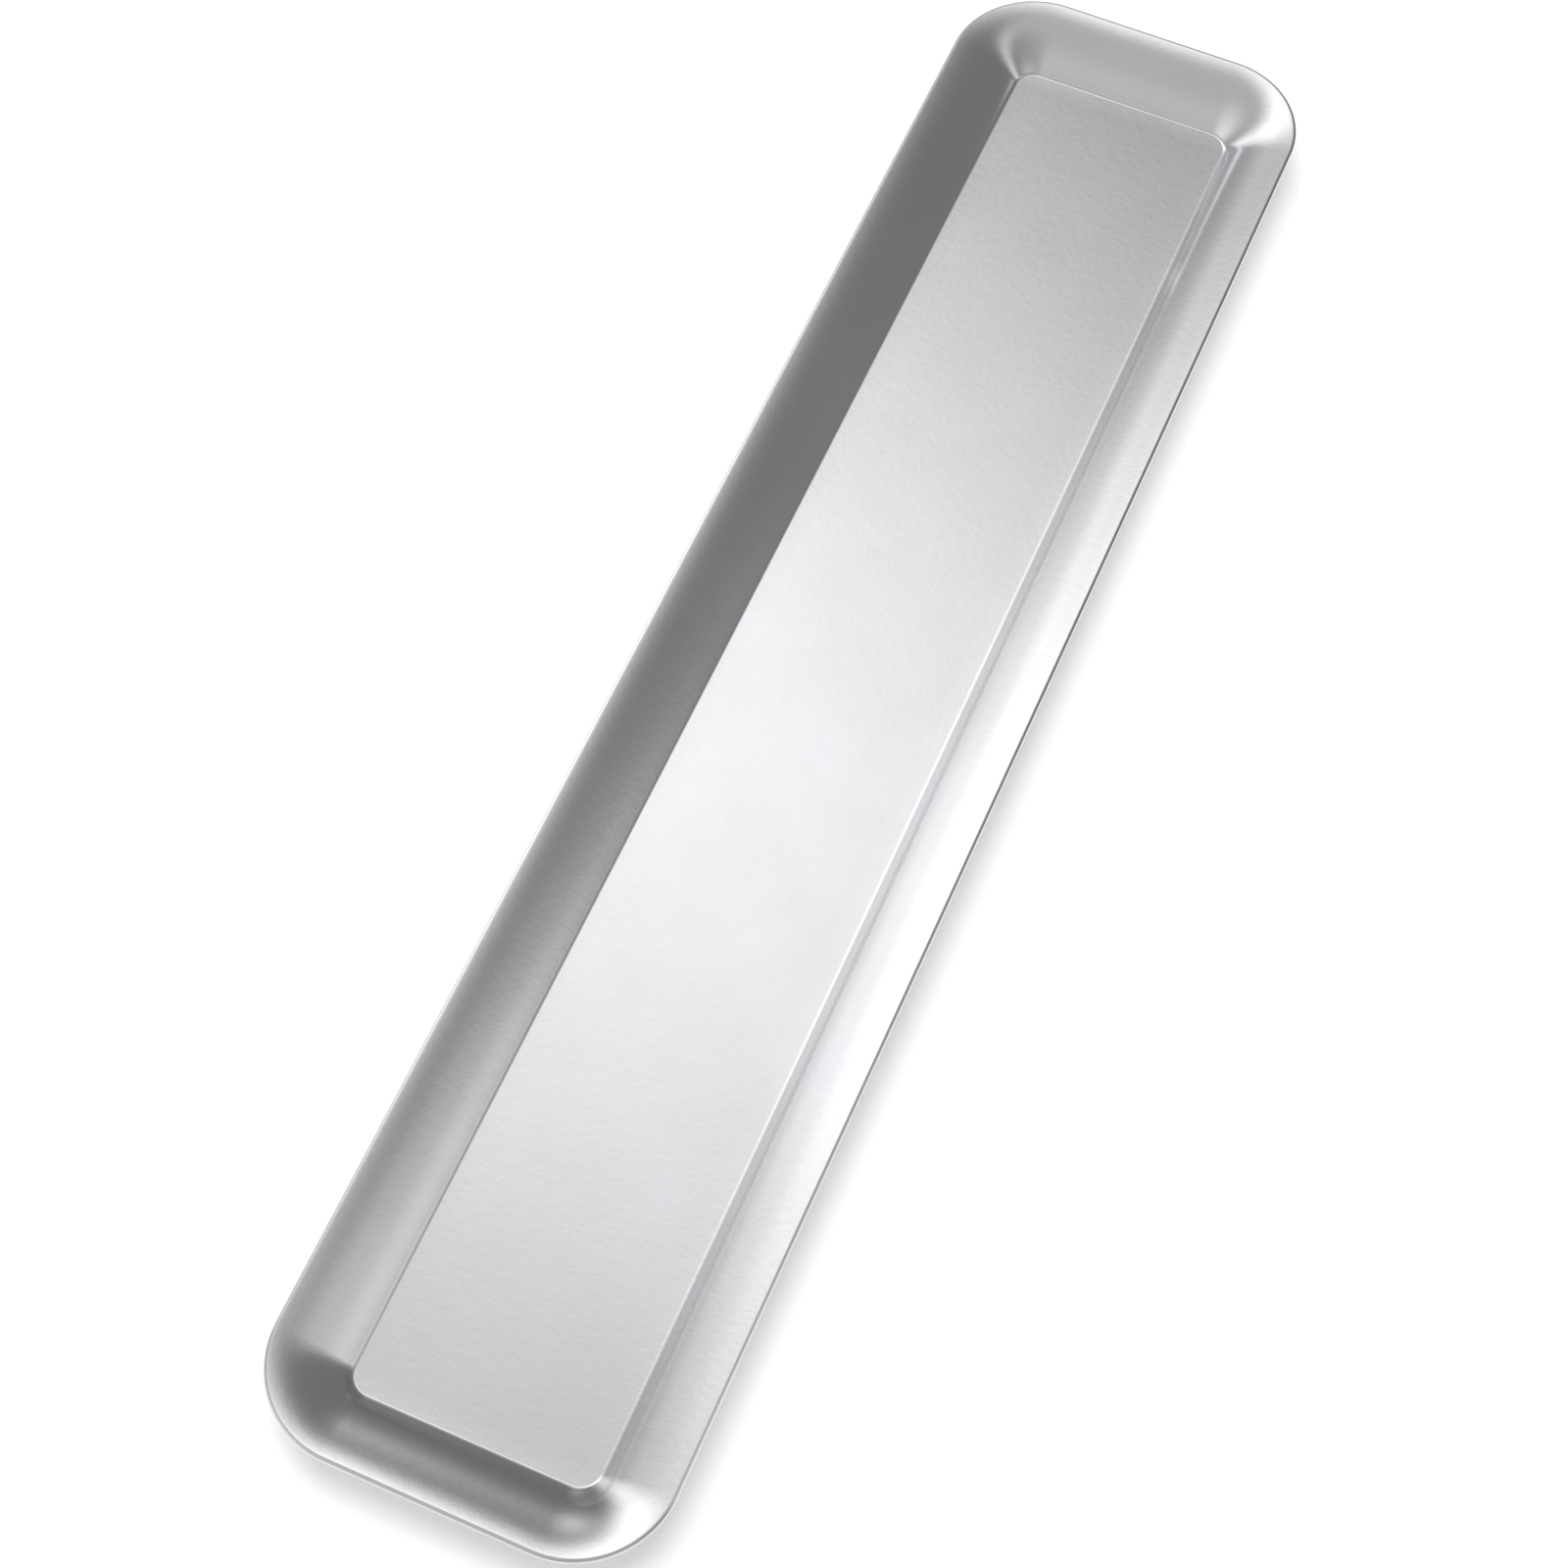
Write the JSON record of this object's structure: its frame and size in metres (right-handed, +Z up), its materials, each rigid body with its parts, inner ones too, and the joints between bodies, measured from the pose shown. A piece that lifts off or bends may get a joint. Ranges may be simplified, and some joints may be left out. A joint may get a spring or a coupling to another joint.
{
  "type": "counting tray",
  "caption": "Long, narrow, shallow pressed steel tray with a flat floor, flared walls and a folded lip, for counting pills.",
  "frame": {"origin": "middle of the flat underside, on the surface that the tray stands on", "axes": "+X across the tray, +Y along its length, +Z up out of the open side"},
  "size_m": [0.066, 0.3, 0.007],
  "materials": {
    "satin_stainless": "satin, very fine even grain"
  },
  "bodies": {
    "root": {"tray_pan": "satin_stainless"}
  },
  "joints": []
}
